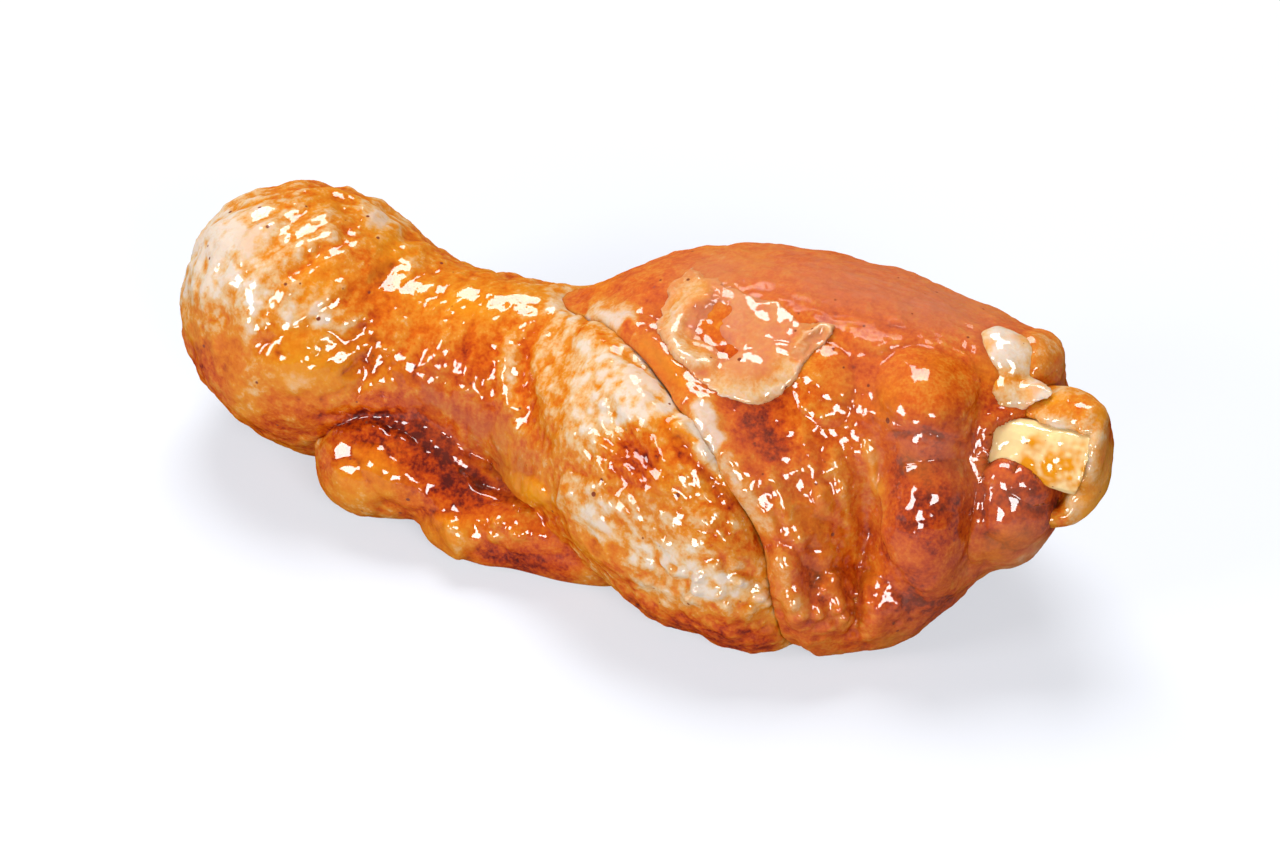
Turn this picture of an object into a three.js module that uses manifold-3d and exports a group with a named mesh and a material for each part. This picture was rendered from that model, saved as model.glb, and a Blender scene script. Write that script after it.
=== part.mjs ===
// A raw, marinated chicken drumette: the upper joint of a chicken wing, cut off at the shoulder.
//
// Skin covers the elbow end like a sleeve, runs over the underside and stops on a slanting cut
// edge. A loose web of fatty skin lies in front of the shaft. Past the edge the bare muscle shows
// as a handful of rounded heads, with a torn flap of membrane on top. The wing bone runs through
// the muscle and comes out at the shoulder, in a cup of joint tissue beside a pad of cartilage.
//
// Units are millimetres. +X runs along the wing bone to the shoulder, +Y is the side turned away,
// and +Z is up. The origin is under the middle of the piece, on the floor that it lies on.

import * as THREE from "three";
import { mergeVertices } from "three/addons/utils/BufferGeometryUtils.js";
import Module from "manifold-3d";

const wasm = await Module();
wasm.setup();

// ---- Driving dimensions ----

const SKIN_THICK = 1.9; // on the near side
const SKIN_THIN = 1.1; // on the side turned away
const GAP = 0.3; // between two pieces that touch
const FLOOR_BLEND = 1; // how softly the flesh rounds off where it lies on the floor
const GROOVE_BLEND = 1.2; // and into a groove
const CAST_REACH = 42; // longest distance from the spine to the surface
const CAST_STEP = 0.5;

// The straight line inside the flesh that rays leave from.
const ELBOW = new THREE.Vector3(-35.5, 1, 13.8);
const SHOULDER = new THREE.Vector3(35, 2.5, 18);

// ---- Lobes: the rounded masses that the flesh is made of ----

const radians = THREE.MathUtils.degToRad;

// One rounded mass: its centre, its half sizes along X, Y and Z, how softly it joins the rest, and
// how far it turns about Z and tilts about Y.
function lobe(at, halfSize, blend = 3, turnDegrees = 0, tiltDegrees = 0) {
  const turned = new THREE.Euler(0, radians(tiltDegrees), radians(turnDegrees), "ZYX");
  return {
    centre: new THREE.Vector3(...at),
    halfSize: new THREE.Vector3(...halfSize),
    unturn: new THREE.Quaternion().setFromEuler(turned).invert(),
    blend,
  };
}

const BODY = [
  lobe([-35.5, 1.2, 14], [13.4, 13.2, 13.2]), // knuckle of the elbow
  lobe([-33, 1, 6.5], [9, 8.4, 8.2], 3), // its flat underside
  lobe([-14, 0.3, 13.6], [32, 9.5, 9.8], 4), // shaft
  lobe([17.6, 4, 19.3], [25.4, 13.5, 12.2], 5), // long upper muscle
  lobe([15, 10, 10.6], [20, 9, 12.2], 3, 9), // outer muscle on the side turned away
  lobe([9, -4.5, 13], [20, 14, 14], 3), // belly, under the skin
  lobe([15.5, -11, 6.6], [14, 8.4, 8.2], 4), // sagging front of the belly
  lobe([27, -8.3, 6], [7.6, 7.4, 7.6], 1.4), // lower head, on the floor
  lobe([33.2, -6.6, 12.8], [5.4, 6.6, 9.6], 0.5), // big rounded head beside the bone
  lobe([30.8, -3.2, 24.4], [5.6, 5.2, 5], 0.5), // head above it
  lobe([39.8, -3.4, 14.6], [4, 4.8, 5.6], 0.5), // small brown head under the bone
  lobe([33, 8, 18.8], [8.4, 7.4, 8.6], 2.4), // flesh round the joint
  lobe([38, 7.2, 25], [3.6, 4, 3.6], 1), // thin lobe behind it
  lobe([36, 1.5, 11.2], [9, 7, 5.4], 4, 0, -40), // slanting rim under the heads
];

const WEB = [
  lobe([-25, -8.6, 5.6], [5.6, 5.6, 6.4]), // swollen corner
  lobe([-19, -8.8, 7.2], [6.6, 4.6, 5], 1.4, 0, 28), // ridge that slants down from the shaft
  lobe([-13, -11, 3.4], [5.4, 4.6, 5], 1.6),
  lobe([-4, -10, 3.6], [10, 5, 5.2], 2.4), // tail that runs in under the belly
];

// Grooves are lobes that are taken away.
const GROOVES = [
  lobe([28, -13.2, 15], [1.5, 3.6, 12]), // left of the big head
  lobe([37.4, -9.6, 17], [1, 3.2, 8]), // between the big head and the small one
  lobe([20, 10.5, 23.4], [15, 3, 1.6]), // along the side turned away
];

const CARTILAGE = [
  lobe([36.4, 4.6, 27.2], [3.6, 3, 2.8], 1, -20, 20), // pad on top of the joint
  lobe([37.2, 1.2, 25.4], [3, 2.4, 2], 0.6), // smaller pad against the bone
  lobe([41.6, 1.6, 25.4], [3, 1.8, 1.9], 0.6), // strip that runs on along the bone
];

// ---- Fields: negative inside the flesh, in millimetres ----

const local = new THREE.Vector3();

function lobeDistance({ centre, halfSize, unturn }, point) {
  local.copy(point).sub(centre).applyQuaternion(unturn).divide(halfSize);
  const reach = local.length();
  const slope = local.divide(halfSize).length();
  return slope > 0 ? (reach * (reach - 1)) / slope : -Math.min(...halfSize);
}

function smoothMin(a, b, blend) {
  const near = Math.max(blend - Math.abs(a - b), 0) / blend;
  return Math.min(a, b) - (near * near * blend) / 4;
}

const smoothMax = (a, b, blend) => -smoothMin(-a, -b, blend);

const lobesField = (lobes, point) =>
  lobes.reduce((field, each) => smoothMin(field, lobeDistance(each, point), each.blend), 1e3);

const carve = (field, lobes, point) =>
  lobes.reduce((rest, each) => smoothMax(rest, -lobeDistance(each, point), GROOVE_BLEND), field);

// The flesh, cut off softly at a flat floor.
const onFloor = (field, point, floor = 0) => smoothMax(field, floor - point.z, FLOOR_BLEND);

// A smooth bump of height 1 over the place where the distance is 0.
const bump = (distance, width) => Math.exp(-((distance / width) ** 2));

// A smooth curve through values at even steps round a full turn.
function aroundRing(values, angle) {
  const steps = values.length;
  const place = (THREE.MathUtils.euclideanModulo(angle / (2 * Math.PI), 1) * steps) % steps;
  const step = Math.floor(place);
  const t = place - step;
  const [a, b, c, d] = [-1, 0, 1, 2].map((i) => values[(step + i + steps) % steps]);
  return b + 0.5 * t * (c - a + t * (2 * a - 5 * b + 4 * c - d + t * (3 * (b - c) + d - a)));
}

// ---- Rays and closed surfaces ----

const QUARTER_TURN = Math.PI / 2;
const FACE_ANGLE = radians(60); // where one face of a squared tube points

// The angle about +X that a share of the way round stands for: 0 faces +Y and a quarter turn +Z.
const angleOf = (share) => -2 * Math.PI * share;

// Which way a ray leaves the spine: lean 0 points back past the elbow, a quarter turn is straight
// out, and a half turn points on past the shoulder.
const rayDirection = (angle, lean) =>
  new THREE.Vector3(
    -Math.cos(lean),
    Math.sin(lean) * Math.cos(angle),
    Math.sin(lean) * Math.sin(angle),
  );

// The outermost point of a field along a ray.
function castOut(field, { origin, direction }) {
  const at = (distance) => origin.clone().addScaledVector(direction, distance);
  let inside = CAST_REACH;
  while (inside > 0 && field(at(inside)) > 0) inside -= CAST_STEP;
  let outside = inside + CAST_STEP;
  for (let halving = 0; halving < 14; halving++) {
    const middle = (inside + outside) / 2;
    if (field(at(middle)) > 0) outside = middle;
    else inside = middle;
  }
  return at(inside);
}

// A closed surface with the layout of a sphere: pointAt gets how far round (0 to 1) and the row,
// from 0 at the first pole to rows at the last one.
function closedSurface(around, rows, pointAt) {
  const geometry = new THREE.SphereGeometry(1, around, rows);
  const { position, uv } = geometry.attributes;
  for (let i = 0; i < position.count; i++) {
    const point = pointAt(uv.getX(i), Math.round((1 - uv.getY(i)) * rows));
    position.setXYZ(i, point.x, point.y, point.z);
  }
  geometry.deleteAttribute("normal");
  geometry.deleteAttribute("uv");
  return mergeVertices(geometry, 1e-4);
}

// A closed surface round lobes, cast out from a straight core inside them, and extra further out.
const castLobes = (lobes, [start, end], around, rows, extra = 0) =>
  closedSurface(around, rows, (round, row) => {
    const lean = (Math.PI * row) / rows;
    const share = (1 - Math.cos(lean)) / 2;
    const origin = new THREE.Vector3(...start).lerp(new THREE.Vector3(...end), share);
    const direction = rayDirection(angleOf(round), lean);
    const field = (point) => onFloor(lobesField(lobes, point) - extra, point);
    return castOut(field, { origin, direction });
  });

// A closed tube along a curve, with a flat face at each end. sectionAt gives the radius, how far
// the section leans, its far underside back along the curve and its near top side forward, how far
// the whole section moves forward, and how square it is: 2 is round, and more is squarer.
const tubeAlong = (curve, around, rows, sectionAt) =>
  closedSurface(around, rows, (round, row) => {
    const along = THREE.MathUtils.clamp((row - 1) / (rows - 2), 0, 1);
    const tangent = curve.getTangent(along);
    const side = new THREE.Vector3(0, 0, 1).cross(tangent).normalize();
    const up = tangent.clone().cross(side);
    const [radius, lean, forward, squareness] = sectionAt(along);
    const angle = angleOf(round);
    const middle = curve.getPoint(along).addScaledVector(tangent, forward);
    if (row === 0 || row === rows) return middle;
    const across = Math.abs(Math.cos(angle - FACE_ANGLE)) ** squareness;
    const upright = Math.abs(Math.sin(angle - FACE_ANGLE)) ** squareness;
    const reach = radius / (across + upright) ** (1 / squareness);
    return middle
      .addScaledVector(side, reach * Math.cos(angle))
      .addScaledVector(up, reach * Math.sin(angle))
      .addScaledVector(tangent, -lean * Math.cos(angle + QUARTER_TURN / 2));
  });

// ---- The skin's cut edge ----

// How far along X the skin reaches, at eight even steps round the shaft: from the far side, over
// the top, down the near side and back underneath.
const SKIN_REACH = [10, -5, -9, 4, 17.5, 22.5, 22, 18];

const skinReach = (angle) => aroundRing(SKIN_REACH, angle);

const spineAt = (x) => ELBOW.clone().lerp(SHOULDER, (x - ELBOW.x) / (SHOULDER.x - ELBOW.x));

// Millimetres of skin between a point and the cut edge, negative past the edge.
function insideEdge(point) {
  const spine = spineAt(point.x);
  return skinReach(Math.atan2(point.z - spine.z, point.y - spine.y)) - point.x;
}

const skinThickness = (point) =>
  THREE.MathUtils.lerp(SKIN_THIN, SKIN_THICK, THREE.MathUtils.smoothstep(-point.y, -10, 6));

// ---- Rows of rays that the muscle and the skin share ----

const AROUND = 50;
const ELBOW_ROWS = 7; // over the round elbow end
const SLEEVE_ROWS = 17; // from there to the cut edge
const BARE_ROWS = 25; // from the edge round the shoulder end
const EDGE_ROW = ELBOW_ROWS + SLEEVE_ROWS;
const EDGE_CROWDING = 1.5; // how much closer the rows lie before the edge
const BARE_CROWDING = 1.25; // and after it

function rayAt(row, angle) {
  if (row <= ELBOW_ROWS)
    return { origin: ELBOW, direction: rayDirection(angle, (QUARTER_TURN * row) / ELBOW_ROWS) };
  const edge = skinReach(angle);
  if (row <= EDGE_ROW) {
    const left = ((EDGE_ROW - row) / SLEEVE_ROWS) ** EDGE_CROWDING;
    const x = THREE.MathUtils.lerp(edge, ELBOW.x, left);
    return { origin: spineAt(x), direction: rayDirection(angle, QUARTER_TURN) };
  }
  const past = ((row - EDGE_ROW) / BARE_ROWS) ** BARE_CROWDING;
  const x = THREE.MathUtils.lerp(edge, SHOULDER.x, Math.sin(QUARTER_TURN * past));
  const lean = QUARTER_TURN * (1 + past);
  return { origin: spineAt(x), direction: rayDirection(angle, lean) };
}

// ---- Muscle ----

const EDGE_RAMP = 1.8; // how far past the skin's edge the muscle takes to rise to full height
const STRAND_PLACE = -3; // a strand of gristle lies just past the edge, on the near side
const STRAND_WIDTH = 1.5;
const STRAND_HEIGHT = 1.3;

// The muscle is sunk under the skin by the skin's thickness, and rises again past its edge.
function muscleField(point) {
  const inside = insideEdge(point);
  const depth =
    THREE.MathUtils.smoothstep(inside, -EDGE_RAMP, 0.5) * (skinThickness(point) + GAP);
  const nearSide = THREE.MathUtils.smoothstep(-point.y, 0, 6);
  const strand = nearSide * STRAND_HEIGHT * bump(inside - STRAND_PLACE, STRAND_WIDTH);
  const flesh = carve(lobesField(BODY, point), GROOVES, point);
  return onFloor(flesh + depth - strand, point, depth);
}

const muscleSurface = (extra = 0) =>
  closedSurface(AROUND, EDGE_ROW + BARE_ROWS, (round, row) =>
    castOut((point) => muscleField(point) - extra, rayAt(row, angleOf(round))),
  );

// ---- Skin ----

const LIP_ROLL = 0.8; // how much the skin swells before its edge, on the near side
const LIP_PLACE = 4;
const LIP_WIDTH = 2.6;
const LIP_ROUNDING = 0.7; // how much it thins out at the very edge
const BAG_SWELL = 1.2; // the slack bag of skin over the front of the belly
const BAG_AT = new THREE.Vector3(10, -17, 15);
const BAG_RADIUS = 12;

function skinField(point) {
  const inside = insideEdge(point);
  const nearSide = THREE.MathUtils.smoothstep(-point.y, -4, 6);
  const lip = nearSide * LIP_ROLL * bump(inside - LIP_PLACE, LIP_WIDTH);
  const rounding = LIP_ROUNDING * bump(Math.max(inside, 0), 0.9);
  const bag = BAG_SWELL * bump(point.distanceTo(BAG_AT), BAG_RADIUS);
  return onFloor(lobesField(BODY, point) - lip - bag + rounding, point);
}

// Out over the skin from its round end to the cut edge, then back inside against the muscle.
const skinSleeve = () =>
  closedSurface(AROUND, 2 * EDGE_ROW + 1, (round, row) => {
    const ray = rayAt(Math.min(row, 2 * EDGE_ROW + 1 - row), angleOf(round));
    return castOut(row <= EDGE_ROW ? skinField : (point) => muscleField(point) - GAP, ray);
  });

const WEB_CORE = [
  [-26, -8.2, 5],
  [2, -9.4, 4.4],
];

// ---- Bone and joint ----

const BONE = new THREE.CatmullRomCurve3([
  new THREE.Vector3(-38, 0, 13.8),
  new THREE.Vector3(0, 0.5, 15.8),
  new THREE.Vector3(28, -0.4, 20.2),
  new THREE.Vector3(46.6, -1, 21.4),
]);
const BONE_SHAFT = 2.9; // radius in the middle
const BONE_KNUCKLE = 5.6; // radius at the elbow
const BONE_CUT = 3.2; // half width where the knife went through
const CUT_SQUARENESS = 5;
const KNUCKLE_LENGTH = 0.14; // share of the bone that flares at the elbow
const CUT_LENGTH = 0.3; // and towards the cut
const CUT_LEAN = 1.6; // how far the cut face leans

function bone(extra = 0) {
  return tubeAlong(BONE, 24, 14, (along) => {
    const knuckle = (BONE_KNUCKLE - BONE_SHAFT) * bump(along, KNUCKLE_LENGTH);
    const flare = (BONE_CUT - BONE_SHAFT) * bump(1 - along, CUT_LENGTH);
    const nearCut = along ** 6;
    const squareness = THREE.MathUtils.lerp(2, CUT_SQUARENESS, nearCut);
    return [BONE_SHAFT + knuckle + flare + extra, CUT_LEAN * nearCut, extra * nearCut, squareness];
  });
}

// A cup of joint tissue, open towards the near side, that the cut end of the bone lies in.
const CUP = [
  lobe([43.2, 2, 20.4], [5.2, 4.6, 6.4]),
  lobe([46, 0.8, 25.6], [2.8, 2.6, 2.4], 1), // lump on its top rim
  lobe([47.4, -0.4, 21], [1.8, 3.4, 5.4], 1), // its rim round the end of the bone
  lobe([45, -2.8, 16.4], [3, 2.6, 2.2], 1), // lump of gristle on its lower rim
];
const CUP_HOLLOW = [lobe([42.6, -2.6, 20.8], [4.4, 4.8, 4.8])];
const CUP_CORE = [
  [42.6, 0.6, 20],
  [43.8, 0.6, 20],
];

const CARTILAGE_CORE = [
  [37.6, 2, 26.8],
  [38.4, 2.2, 26.8],
];

// ---- Membrane flap ----

const FLAP_X = 11.8; // where the flap's middle lies along the drumette
const FLAP_ANGLE = radians(107); // and round it, from the far side over the top
const FLAP_HALF_LENGTH = 9.6;
const FLAP_HALF_ANGLE = radians(33);
const FLAP_THICKNESS = 0.8;
const FLAP_CURL = 0.6; // how far the edge curls up off the muscle
const FLAP_ROWS = 5; // from the middle to the edge

// How far its wavy edge lies from the middle, as a share of those, from the shoulder end round by
// the far side.
const FLAP_REACH = [1.05, 1.04, 1.05, 1, 1.16, 1.13, 1.05, 0.97, 0.91, 0.98, 1.13, 0.95];

// A thin sheet on the muscle with a wavy, curled edge: underneath it from the middle to the edge,
// then back over its top.
const membraneFlap = () =>
  closedSurface(32, 2 * FLAP_ROWS, (round, row) => {
    const share = Math.min(row, 2 * FLAP_ROWS - row) / FLAP_ROWS;
    const turn = angleOf(round);
    const out = share * aroundRing(FLAP_REACH, turn);
    const x = FLAP_X + FLAP_HALF_LENGTH * out * Math.cos(turn);
    const angle = FLAP_ANGLE - FLAP_HALF_ANGLE * out * Math.sin(turn);
    const sheet = row >= FLAP_ROWS ? FLAP_THICKNESS * Math.sqrt(1 - share ** 4) : 0;
    const height = 2 * GAP + FLAP_CURL * share ** 4 + sheet;
    const ray = { origin: spineAt(x), direction: rayDirection(angle, QUARTER_TURN) };
    return castOut((point) => muscleField(point) - height, ray);
  });

// ---- Solids and meshes ----

const solidOf = (geometry) =>
  new wasm.Manifold(
    new wasm.Mesh({
      numProp: 3,
      vertProperties: geometry.attributes.position.array,
      triVerts: new Uint32Array(geometry.index.array),
    }),
  );

function geometryOf(solid) {
  const { numProp, numVert, vertProperties, triVerts } = solid.getMesh();
  const positions = new Float32Array(numVert * 3);
  for (let i = 0; i < numVert; i++)
    positions.set(vertProperties.subarray(i * numProp, i * numProp + 3), i * 3);
  const geometry = new THREE.BufferGeometry();
  geometry.setAttribute("position", new THREE.BufferAttribute(positions, 3));
  geometry.setIndex(new THREE.BufferAttribute(triVerts, 1));
  geometry.computeVertexNormals();
  return geometry;
}

const drumette = new THREE.Group();

function addPiece(name, solid, color, roughness) {
  const material = new THREE.MeshStandardMaterial({ color, roughness, metalness: 0 });
  const mesh = new THREE.Mesh(geometryOf(solid), material);
  mesh.name = name;
  drumette.add(mesh);
}

const fleshRoom = solidOf(muscleSurface(GAP));
const boneRoom = solidOf(bone(GAP));
const web = solidOf(castLobes(WEB, WEB_CORE, 24, 22)).subtract(solidOf(muscleSurface(2 * GAP)));
const hollow = solidOf(castLobes(CUP_HOLLOW, CUP_CORE, 16, 10));
const cup = solidOf(castLobes(CUP, CUP_CORE, 22, 14)).subtract(hollow);
const cupRoom = solidOf(castLobes(CUP, CUP_CORE, 22, 14, GAP));
const pad = solidOf(castLobes(CARTILAGE, CARTILAGE_CORE, 18, 12)).subtract(cupRoom);

addPiece("muscle", solidOf(muscleSurface()).subtract(boneRoom), 0xb5532a, 0.3);
addPiece("skin", solidOf(skinSleeve()).add(web), 0xe0a070, 0.35);
addPiece("humerus", solidOf(bone()), 0xecd9a0, 0.4);
addPiece("joint_capsule", cup.subtract(fleshRoom).subtract(boneRoom), 0xd98c4a, 0.3);
addPiece("cartilage", pad.subtract(fleshRoom).subtract(boneRoom), 0xf0e0bd, 0.3);
addPiece("membrane_flap", solidOf(membraneFlap()), 0xd9793c, 0.25);

// Centre the piece over the origin and set it down on the floor.
const box = new THREE.Box3().setFromObject(drumette);
const centre = box.getCenter(new THREE.Vector3());
drumette.position.set(-centre.x, -centre.y, -box.min.z);

export default drumette;
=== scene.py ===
# %% [markdown]
# # A raw chicken drumette in its marinade
#
# The drumette is the upper joint of a chicken wing. Skin sleeves the elbow end and stops on a
# slanting cut edge, and the bare muscle and the cut wing bone show past it. All of it is wet with
# an orange marinade. The frame holds plain solids of the six parts at their true size and place.
# This lesson copies each one, works finer relief into the copy, and makes it look wet and slightly
# see-through.

# %% Load the frame

import math
from itertools import product

import bpy
import numpy as np
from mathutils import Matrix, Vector
from mathutils.bvhtree import BVHTree


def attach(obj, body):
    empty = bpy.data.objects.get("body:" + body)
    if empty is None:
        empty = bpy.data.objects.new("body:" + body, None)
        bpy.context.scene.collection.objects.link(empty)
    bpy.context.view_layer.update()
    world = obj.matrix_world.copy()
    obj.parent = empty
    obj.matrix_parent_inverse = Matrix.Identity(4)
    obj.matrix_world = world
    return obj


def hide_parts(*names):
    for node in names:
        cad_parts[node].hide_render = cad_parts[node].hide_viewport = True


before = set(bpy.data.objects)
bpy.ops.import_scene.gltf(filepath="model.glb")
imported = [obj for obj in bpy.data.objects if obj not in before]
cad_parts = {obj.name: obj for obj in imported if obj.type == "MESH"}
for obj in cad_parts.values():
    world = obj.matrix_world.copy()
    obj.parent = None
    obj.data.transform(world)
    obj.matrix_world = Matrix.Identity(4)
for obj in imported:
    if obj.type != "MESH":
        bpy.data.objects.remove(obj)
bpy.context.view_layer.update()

bpy.ops.object.select_all(action="DESELECT")
MM = 0.001
print("nodes:", sorted(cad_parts))

# %% [markdown]
# ## The camera
#
# It looks down at 38 degrees over the near side, with a long lens, so that near and far parts keep
# the same scale. It comes first, because some of the modelling works like a sculptor's stencil: a
# mark is drawn on a plane that faces the camera, and pressed straight through onto the flesh.

# %% Place the camera

AZIMUTH = math.radians(22)
ELEVATION = math.radians(38)
LENS = 200
DISTANCE = 0.71
NEAREST_SEEN = 0.01
AIM = Vector((0.0, 0.0, 0.0118))

# the three directions of the picture: to its right, up it, and out of it towards the camera
RIGHT = Vector((math.cos(AZIMUTH), math.sin(AZIMUTH), 0))
LEVEL = math.cos(ELEVATION)
BACK = Vector((math.sin(AZIMUTH) * LEVEL, -math.cos(AZIMUTH) * LEVEL, math.sin(ELEVATION)))
UP = BACK.cross(RIGHT)

camera_data = bpy.data.cameras.new("camera")
camera_data.lens = LENS
camera_data.clip_start = NEAREST_SEEN
camera = bpy.data.objects.new("camera", camera_data)
bpy.context.scene.collection.objects.link(camera)
camera.location = AIM + BACK * DISTANCE
camera.rotation_euler = BACK.to_track_quat("Z", "Y").to_euler()
bpy.context.scene.camera = camera
print("camera at", [round(x, 3) for x in camera.location])

# %% [markdown]
# ## The floor
#
# The drumette lies on a plain white surface. A white floor lit by the lamps would do, but the wet
# film mirrors it all along the meat's lower edge, which washes the colour out. So this floor is
# dark to every ray but the camera's own, for which it glows. The Light Path node tells them apart.
# Materials are wired up in code here, so a few short forms for their nodes come first.

# %% Write short forms for shader nodes

# the Mix node's sockets when it mixes colours
MIX_FACTOR, MIX_A, MIX_B, MIX_RESULT = 0, 6, 7, 2


def feed(tree, value, socket):
    """Gives a socket a number, a colour or another node's output."""
    if isinstance(value, (int, float)):
        socket.default_value = value
    elif isinstance(value, tuple):
        socket.default_value = (*value, 1)
    else:
        tree.links.new(value, socket)


def group(name, inputs, outputs):
    """A new node group, with the nodes that stand for its inputs and outputs."""
    tree = bpy.data.node_groups.new(name, "ShaderNodeTree")
    for label, kind in inputs:
        tree.interface.new_socket(label, in_out="INPUT", socket_type=kind)
    for label, kind in outputs:
        tree.interface.new_socket(label, in_out="OUTPUT", socket_type=kind)
    return tree, tree.nodes.new("NodeGroupInput"), tree.nodes.new("NodeGroupOutput")


def ramp(tree, amount, stops):
    """A colour that runs through the stops as the amount goes from 0 to 1."""
    node = tree.nodes.new("ShaderNodeValToRGB")
    elements = node.color_ramp.elements
    while len(elements) < len(stops):
        elements.new(0.5)
    for element, (place, colour) in zip(elements, stops):
        element.position = place
        element.color = (*colour, 1)
    tree.links.new(amount, node.inputs[0])
    return node.outputs[0]


def maths(tree, operation, a, b, c=None, clamp=False):
    """One Math node, fed with numbers or with the outputs of other nodes."""
    node = tree.nodes.new("ShaderNodeMath")
    node.operation = operation
    node.use_clamp = clamp
    for socket, value in zip(node.inputs, (a, b, c)):
        if value is not None:
            feed(tree, value, socket)
    return node.outputs[0]


def mix(tree, factor, a, b):
    """Colour a where the factor is 0, turning to colour b where it is 1."""
    node = tree.nodes.new("ShaderNodeMix")
    node.data_type = "RGBA"
    for index, value in ((MIX_FACTOR, factor), (MIX_A, a), (MIX_B, b)):
        feed(tree, value, node.inputs[index])
    return node.outputs[MIX_RESULT]


def pattern(tree, kind, scale, detail):
    """A noise or Voronoi texture on the object's own coordinates."""
    place = tree.nodes.new("ShaderNodeTexCoord")
    node = tree.nodes.new("ShaderNodeTexNoise" if kind == "noise" else "ShaderNodeTexVoronoi")
    tree.links.new(place.outputs["Object"], node.inputs["Vector"])
    feed(tree, scale, node.inputs["Scale"])
    node.inputs["Detail"].default_value = detail
    return node.outputs["Fac" if kind == "noise" else "Distance"]


# %% Lay the floor

FLOOR_SIZE = 6
FLOOR_COLOUR = (0.26, 0.27, 0.29, 1)
DARK = (0.0, 0.0, 0.0)
FLOOR_GLOW = (0.93, 0.945, 1.0)

bpy.ops.mesh.primitive_plane_add(size=FLOOR_SIZE)
floor = bpy.context.object
floor.name = "floor"
floor_finish = bpy.data.materials.new("pale_floor")
floor_finish.use_nodes = True
floor_tree = floor_finish.node_tree
floor_shader = floor_tree.nodes["Principled BSDF"]
floor_shader.inputs["Base Color"].default_value = FLOOR_COLOUR
seen = floor_tree.nodes.new("ShaderNodeLightPath").outputs["Is Camera Ray"]
feed(floor_tree, mix(floor_tree, seen, DARK, FLOOR_GLOW), floor_shader.inputs["Emission Color"])
floor_shader.inputs["Emission Strength"].default_value = 0.57
floor_shader.inputs["Roughness"].default_value = 0.7
floor_shader.inputs["Specular IOR Level"].default_value = 0.1
floor.data.materials.append(floor_finish)
print("floor:", FLOOR_SIZE, "m wide")

# %% [markdown]
# ## The light
#
# Wet meat shows its form mostly by its highlights, and a highlight is a picture of a lamp. A small,
# bright softbox comes out as crisp white flakes, while a large dim one lays a grey veil over the
# colour. The largest hangs overhead and a little behind, and three small ones stand round the near
# side, one of them low. The surroundings stay dim, for the same reason as the floor.

# %% Hang the lights

LAMPS = [
    # name, place, width and power
    ("overhead", (-0.17, 0.34, 0.76), 0.43, 9.6),
    ("near_left", (-0.48, -0.52, 0.34), 0.25, 3.7),
    ("near_right", (0.45, -0.55, 0.42), 0.25, 3.9),
    ("low_front", (0.02, -0.8, 0.17), 0.22, 3.2),
]


def softbox(name, place, width, power):
    """A square area light that faces the drumette."""
    data = bpy.data.lights.new(name, "AREA")
    data.shape = "SQUARE"
    data.size = width
    data.energy = power
    lamp = bpy.data.objects.new(name, data)
    bpy.context.scene.collection.objects.link(lamp)
    lamp.location = place
    lamp.rotation_euler = (Vector(place) - AIM).to_track_quat("Z", "Y").to_euler()


for lamp in LAMPS:
    softbox(*lamp)

world = bpy.data.worlds.new("studio")
bpy.context.scene.world = world
world.use_nodes = True
surroundings = world.node_tree.nodes["Background"]
surroundings.inputs["Color"].default_value = (0.92, 0.94, 1, 1)
surroundings.inputs["Strength"].default_value = 0.15
bpy.context.scene.view_settings.view_transform = "Standard"

# %% [markdown]
# ## Random relief
#
# Flesh is uneven at every size, from the width of a finger down to a goosebump. Displace modifiers
# could bring that in, but here the colour has to follow the relief, so both are worked out from the
# same numbers. `noise` gives smooth random values that change over a chosen size. `cells` scatters
# points through space and tells how far away the nearest one is. The dice are seeded, so each run
# is the same.

# %% Write noise and cells

NOISE_STEP, CELL_STEP = 19.7, 31.3  # keep the patterns of two seeds apart
LOUDNESS = 1.7  # brings noise up to about -1 to 1

dice = np.random.default_rng(11)
SHUFFLE = dice.permutation(256)
ARROWS = dice.normal(size=(256, 3))
ARROWS /= np.linalg.norm(ARROWS, axis=1)[:, None]
SPOTS = dice.random((256, 3))


def draw(cell):
    """A random index from 0 to 255 for each whole-number cell."""
    x, y, z = (cell & 255).T
    return SHUFFLE[(SHUFFLE[(SHUFFLE[x] + y) & 255] + z) & 255]


def noise(points, size, seed=0):
    """Smooth random values, mostly from -1 to 1, that change over size."""
    place = points / size + NOISE_STEP * seed
    corner = np.floor(place).astype(int)
    part = place - corner
    fade = part**3 * (part * (part * 6 - 15) + 10)
    total = np.zeros(len(points))
    for step in product((0, 1), repeat=3):
        share = np.prod(np.where(step, fade, 1 - fade), axis=1)
        total += share * (ARROWS[draw(corner + step)] * (part - step)).sum(axis=1)
    return total * LOUDNESS


def cells(points, size, seed):
    """The distance to the nearest scattered point, as a share of size."""
    place = points / size + CELL_STEP * seed
    corner = np.floor(place).astype(int)
    nearest = np.full(len(points), 9.0)
    for step in product((-1, 0, 1), repeat=3):
        cell = corner + step
        gap = np.linalg.norm(cell + SPOTS[draw(cell)] - place, axis=1)
        nearest = np.minimum(nearest, gap)
    return nearest


print("noise at three places:", noise(np.eye(3), 0.3).round(2))

# %% [markdown]
# Raw noise looks like clouds, not like flesh. These tools turn it into forms: `drawn_out` gives it
# a grain, as in muscle, `beads` makes round bumps such as goosebumps and drops, `veins` makes thin
# branching lines, and `wrinkles` turns those lines into creases between rounded folds.

# %% Turn noise into forms


def smoothstep(value, low, high):
    """0 below low, 1 above high, and an even slope between."""
    t = np.clip((value - low) / (high - low), 0, 1)
    return t * t * (3 - 2 * t)


def drawn_out(points, direction, times):
    """Squeezes points along a direction, so that a pattern on them is drawn out along it."""
    direction = np.array(direction) / np.linalg.norm(direction)
    return points - (points @ direction)[:, None] * direction * (1 - 1 / times)


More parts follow.
